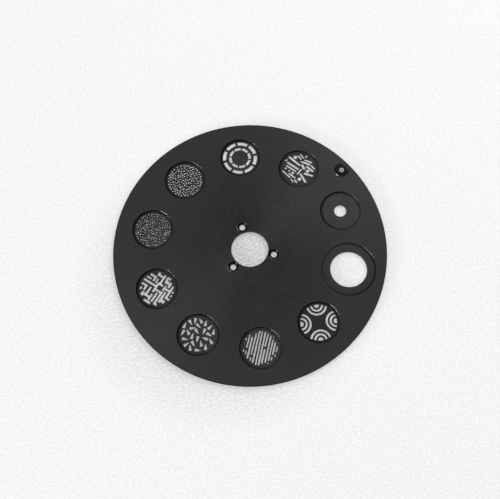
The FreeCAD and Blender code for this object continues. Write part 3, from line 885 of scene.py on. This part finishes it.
@shared_group("Dotted gobo")
def dotted_gobo_tree(name):
    """Gobo with uneven round dots, scattered with a least distance between them."""
    tree, given, out = new_group(
        name, "GeometryNodeTree",
        [("Geometry", "NodeSocketGeometry", None), ("Image radius", "NodeSocketFloat", 9.8 * MM),
         ("Dot spacing", "NodeSocketFloat", 1.1 * MM), ("Dot width", "NodeSocketFloat", 0.95 * MM),
         ("Unevenness", "NodeSocketFloat", 0.2), ("Seed", "NodeSocketInt", 4), *SHEET_INPUTS],
        [("Gobo", "NodeSocketGeometry", None)])
    reach = maths(tree, "MULTIPLY_ADD", given["Dot width"], -0.5, given["Image radius"])
    field = add(
        tree, "GeometryNodeMeshCircle", {"Vertices": 64, "Radius": reach}, fill_type="NGON")
    spaced = maths(tree, "MULTIPLY", given["Dot spacing"], given["Dot spacing"])
    # The density is far more than fits, so that only the least distance thins the points out.
    points = add(tree, "GeometryNodeDistributePointsOnFaces", {
        "Mesh": field.outputs[0], "Distance Min": given["Dot spacing"],
        "Density Max": maths(tree, "DIVIDE", 14.0, spaced), "Seed": given["Seed"]},
        distribute_method="POISSON")
    dot = add(tree, "GeometryNodeCurvePrimitiveCircle", {
        "Resolution": 9, "Radius": maths(tree, "MULTIPLY", given["Dot width"], 0.5)})
    least = maths(tree, "SUBTRACT", 1.0, given["Unevenness"])
    most = maths(tree, "MULTIPLY_ADD", given["Unevenness"], 0.3, 1.0)
    scale, spin = (
        add(tree, "FunctionNodeRandomValue", {2: low, 3: high, "Seed": given["Seed"]},
            data_type="FLOAT").outputs[1]
        for low, high in ((least, most), (0.0, 6.283)))
    turn = add(tree, "ShaderNodeCombineXYZ", {2: spin})
    dots = add(tree, "GeometryNodeInstanceOnPoints", {
        "Points": points.outputs[0], "Instance": dot.outputs[0],
        "Rotation": turn.outputs[0], "Scale": scale})
    loose = add(tree, "GeometryNodeRealizeInstances", {0: dots.outputs[0]})
    wobble = add(tree, "ShaderNodeTexNoise", {
        "Vector": add(tree, "GeometryNodeInputPosition").outputs[0],
        "Scale": maths(tree, "DIVIDE", 1.4, given["Dot width"]), "Detail": 0.0})
    much = maths(tree, "MULTIPLY", given["Dot width"], given["Unevenness"])
    offset = wobble.outputs["Color"]
    for operation, other, value in (
            ("SUBTRACT", 1, (0.5, 0.5, 0.5)), ("SCALE", "Scale", much),
            ("MULTIPLY", 1, (1.0, 1.0, 0.0))):
        inputs = {0: offset, other: value}
        offset = add(tree, "ShaderNodeVectorMath", inputs, operation=operation).outputs[0]
    uneven = add(tree, "GeometryNodeSetPosition", {
        "Geometry": loose.outputs[0], "Offset": offset})

    sheet = tree.nodes.new("GeometryNodeGroup")
    sheet.node_tree = sheet_tree()
    link(tree, uneven.outputs[0], sheet.inputs["Outlines"])
    for label, _, _ in SHEET_INPUTS:
        link(tree, given[label], sheet.inputs[label])
    end_tree(tree, sheet.outputs[0], given["Finish"], out["Gobo"])
    return tree


@shared_group("Split ring")
def ring_tree(name):
    """Split ring of round wire."""
    tree, given, out = new_group(
        name, "GeometryNodeTree",
        [("Geometry", "NodeSocketGeometry", None),
         ("Outer radius", "NodeSocketFloat", RING_RADIUS),
         ("Wire width", "NodeSocketFloat", 0.55 * MM), ("Gap", "NodeSocketFloat", 1.0),
         ("Turn", "NodeSocketFloat", 0.0), ("Centre", "NodeSocketVector", None),
         ("Finish", "NodeSocketMaterial", None)],
        [("Ring", "NodeSocketGeometry", None)])
    half_gap = maths(tree, "MULTIPLY", given["Gap"], 0.5)
    line = add(tree, "GeometryNodeCurveArc", {
        "Resolution": 90,
        "Radius": maths(tree, "MULTIPLY_ADD", given["Wire width"], -0.5, given["Outer radius"]),
        "Start Angle": maths(tree, "ADD", half_gap, given["Turn"]),
        "Sweep Angle": maths(tree, "SUBTRACT", math.tau, given["Gap"])}, mode="RADIUS")
    section = add(tree, "GeometryNodeCurvePrimitiveCircle", {
        "Resolution": 14, "Radius": maths(tree, "MULTIPLY", given["Wire width"], 0.5)})
    wire = add(tree, "GeometryNodeCurveToMesh", {
        "Curve": line.outputs[0], "Profile Curve": section.outputs[0], "Fill Caps": True})
    smooth = add(tree, "GeometryNodeSetShadeSmooth", {
        "Geometry": wire.outputs[0], "Shade Smooth": True})
    placed = add(tree, "GeometryNodeTransform", {
        "Geometry": smooth.outputs[0], "Translation": given["Centre"]})
    end_tree(tree, placed.outputs[0], given["Finish"], out["Ring"])
    return tree


def set_inputs(modifier, values):
    """Set a node modifier's inputs by their names, through the sockets' identifiers."""
    for item in modifier.node_group.interface.items_tree:
        if item.item_type == "SOCKET" and item.in_out == "INPUT" and item.name in values:
            modifier[item.identifier] = values[item.name]


def outline_curves(name, outlines):
    """Curve object with one closed spline for each outline."""
    data = bpy.data.curves.new(name, "CURVE")
    data.dimensions = "3D"
    for outline in outlines:
        spline = data.splines.new("POLY")
        spline.points.add(len(outline) - 1)
        for point, (x, y) in zip(spline.points, outline):
            point.co = (x * MM, y * MM, 0, 1)
        spline.use_cyclic_u = True
    return new_object(name, data)


def sheet_values(design):
    centre, low, high = centre_of(f"gobo_{design}")
    return {
        "Blank radius": BLANK_RADIUS,
        "Thickness": high - low,
        "Turn": math.radians(OPEN_TURN + DESIGNS[design].image_turn),
        "Centre": (centre.x, centre.y, low),
        "Finish": finish_gobo(design),
    }


def add_node_modifier(piece, tree, values):
    modifier = piece.modifiers.new(tree.name, "NODES")
    modifier.node_group = tree
    set_inputs(modifier, values)


class MakePlate(bpy.types.Operator):
    """Plate with its edges slightly broken"""

    bl_idname = "gobo_wheel.plate"
    bl_label = "Plate"

    def execute(self, context):
        face_index, wall_index, chamfer_index = range(3)
        piece = new_object("plate", merged_copy("wheel_plate"))
        piece.data.materials.append(finish_anodised())
        # Painted shade on the walls and the chamfers at the bore and rim.
        piece.data.materials.append(finish_cut("shaded_anodised_wall", gloss=0.07))
        piece.data.materials.append(finish_cut("anodised_chamfer", gloss=1.0))
        for face in piece.data.polygons:
            face.material_index = face_index if abs(face.normal.z) >= LEVEL else wall_index
        bevel = piece.modifiers.new("edge_break", "BEVEL")
        bevel.width = sizes().edge_break
        bevel.segments = 1
        bevel.limit_method = "ANGLE"
        bevel.angle_limit = math.radians(35)
        bevel.material = chamfer_index
        piece = finished(piece, ["wheel_plate"])
        inner, outer = GLOSSY_EDGES
        for face in piece.data.polygons:
            glossy = inner < face.center.xy.length < outer
            if face.material_index == chamfer_index and not glossy:
                face.material_index = wall_index
        return {"FINISHED"}


class MakeCutGobos(bpy.types.Operator):
    """Gobos whose images are slots, shards, dashes and arcs"""

    bl_idname = "gobo_wheel.cut_gobos"
    bl_label = "Cut gobos"

    def execute(self, context):
        images = {
            "sticks": stick_outlines,
            "dashed_rings": dash_outlines,
            "shards": shard_outlines,
            "stripes": stripe_outlines,
            "corner_arcs": corner_arc_outlines,
        }
        for design, outlines in images.items():
            piece = outline_curves(f"cut_{design}", outlines())
            add_node_modifier(piece, sheet_tree(), sheet_values(design))
            finished(piece, [f"gobo_{design}"])
        for design in ("pinhole", "maze"):
            finish = finish_gobo(design)
            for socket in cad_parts[f"gobo_{design}"].material_slots:
                socket.material = finish
        return {"FINISHED"}


class MakeDottedGobos(bpy.types.Operator):
    """The two gobos with scattered dots"""

    bl_idname = "gobo_wheel.dotted_gobos"
    bl_label = "Dotted gobos"

    def execute(self, context):
        given = sizes()
        for design, spacing, width, unevenness in (
            ("dots", given.dot_spacing, given.dot_width, 0.22),
            ("fine_dots", given.fine_dot_spacing, given.fine_dot_width, 0.4),
        ):
            piece = new_object(f"cut_{design}", bpy.data.meshes.new(f"cut_{design}"))
            add_node_modifier(piece, dotted_gobo_tree(), {
                **sheet_values(design), "Image radius": given.image_width / 2,
                "Dot spacing": spacing, "Dot width": width, "Unevenness": unevenness,
                "Seed": given.dot_seed})
            finished(piece, [f"gobo_{design}"])
        return {"FINISHED"}


class MakeRings(bpy.types.Operator):
    """Spring rings that hold the gobos"""

    bl_idname = "gobo_wheel.rings"
    bl_label = "Spring rings"

    def execute(self, context):
        given = sizes()
        for design, look in DESIGNS.items():
            centre, _, top = centre_of(f"gobo_{design}")
            piece = new_object(f"wire_{design}", bpy.data.meshes.new(f"wire_{design}"))
            add_node_modifier(piece, ring_tree(), {
                "Outer radius": RING_RADIUS, "Wire width": given.wire_width, "Gap": given.ring_gap,
                "Turn": math.radians(OPEN_TURN + look.ring_turn),
                "Centre": (centre.x, centre.y, top + given.wire_width / 2),
                "Finish": finish_wire(design)})
            finished(piece, [f"ring_{design}"])
        return {"FINISHED"}


class MakeMagnet(bpy.types.Operator):
    """Index magnet in its domed collar"""

    bl_idname = "gobo_wheel.magnet"
    bl_label = "Magnet and collar"

    def execute(self, context):
        centre, _, _ = centre_of("magnet_collar")
        foot = Vector((centre.x, centre.y, 0))
        crest = [
            (CREST_CENTRE[0] + CREST_WIDTH * math.cos(turn),
             CREST_CENTRE[1] + CREST_HEIGHT * math.sin(turn))
            for turn in (math.pi / 2 * step / 12 for step in range(5, 13))]
        collar = lathe("collar", COLLAR_FOOT + COLLAR_EDGE + crest + COLLAR_BORE, foot)
        collar.data.materials.append(finish_collar("black_gloss_collar", gloss=0.1))
        collar.data.materials.append(finish_collar("collar_edge", gloss=0.4))
        for face in collar.data.polygons:
            face.material_index = int(EDGE_LEAN[0] < face.normal.z < EDGE_LEAN[1])
        finished(collar, ["magnet_collar"])
        magnet = lathe("magnet", MAGNET_SECTION, foot, steps=48)
        magnet.data.materials.append(finish_magnet())
        finished(magnet, ["index_magnet"])
        return {"FINISHED"}


def add_softbox(name, lamp):
    """Area lamp that faces the wheel."""
    data = bpy.data.lights.new(name, "AREA")
    data.shape = "RECTANGLE"
    data.size, data.size_y, data.energy = lamp.width, lamp.height, lamp.watts
    box = new_object(name, data)
    a, e = math.radians(lamp.azimuth), math.radians(lamp.elevation)
    away = Vector((math.cos(a) * math.cos(e), math.sin(a) * math.cos(e), math.sin(e)))
    box.location = away * lamp.distance
    box.rotation_euler = away.to_track_quat("Z", "Y").to_euler()


class MakeStage(bpy.types.Operator):
    """Camera, pale floor and soft light"""

    bl_idname = "gobo_wheel.stage"
    bl_label = "Stage"

    def execute(self, context):
        scene = context.scene
        scene.view_settings.view_transform = "Standard"

        shape = bmesh.new()
        bmesh.ops.create_circle(shape, cap_ends=True, segments=64, radius=FLOOR_RADIUS)
        bmesh.ops.translate(shape, verts=shape.verts, vec=(0, 0, FLOOR_LEVEL))
        floor = new_object("floor", mesh_of(shape, "floor"))
        floor.data.materials.append(finish_floor())

        world = bpy.data.worlds.new("soft_room")
        world.use_nodes = True
        tree = world.node_tree
        room = tree.nodes["Background"]
        room.inputs["Color"].default_value = (*colours().room, 1.0)
        room.inputs["Strength"].default_value = ROOM_STRENGTH
        backdrop = add(tree, "ShaderNodeBackground", {
            "Color": (*colours().backdrop, 1.0), "Strength": 1.0})
        blend = add(tree, "ShaderNodeMixShader", {
            0: seen_share(tree, 1.0), 1: room.outputs[0], 2: backdrop.outputs[0]})
        link(tree, blend.outputs[0], tree.nodes["World Output"].inputs["Surface"])
        scene.world = world
        for name, lamp in LAMPS.items():
            add_softbox(name, lamp)

        data = bpy.data.cameras.new("view")
        data.sensor_width, data.lens = CAMERA_SENSOR, CAMERA_LENS
        data.clip_start, data.clip_end = CAMERA_RANGE
        camera = new_object("view", data)
        camera.location = CAMERA_PLACE
        camera.rotation_mode = "ZYX"
        camera.rotation_euler = CAMERA_TURN
        scene.camera = camera
        return {"FINISHED"}


class WheelPanel(bpy.types.Panel):
    """Sidebar panel of the gobo wheel"""

    bl_idname = "VIEW3D_PT_gobo_wheel"
    bl_label = "Gobo Wheel"
    bl_space_type = "VIEW_3D"
    bl_region_type = "UI"
    bl_category = "Gobo Wheel"

    def draw(self, context):
        layout = self.layout
        for operator in OPERATORS:
            layout.operator(operator.bl_idname)
        for group in (context.scene.wheel_sizes, context.scene.wheel_colours):
            box = layout.box()
            for name in group.__annotations__:
                box.prop(group, name)


OPERATORS = (MakePlate, MakeCutGobos, MakeDottedGobos, MakeRings, MakeMagnet, MakeStage)
CLASSES = (WheelSizes, WheelColours, *OPERATORS, WheelPanel)


def register():
    for cls in CLASSES:
        bpy.utils.register_class(cls)
    bpy.types.Scene.wheel_sizes = PointerProperty(type=WheelSizes)
    bpy.types.Scene.wheel_colours = PointerProperty(type=WheelColours)


def unregister():
    del bpy.types.Scene.wheel_colours
    del bpy.types.Scene.wheel_sizes
    for cls in reversed(CLASSES):
        bpy.utils.unregister_class(cls)


def main():
    register()
    bpy.ops.gobo_wheel.plate()
    bpy.ops.gobo_wheel.cut_gobos()
    bpy.ops.gobo_wheel.dotted_gobos()
    bpy.ops.gobo_wheel.rings()
    bpy.ops.gobo_wheel.magnet()
    bpy.ops.gobo_wheel.stage()


if __name__ == "__main__":
    main()
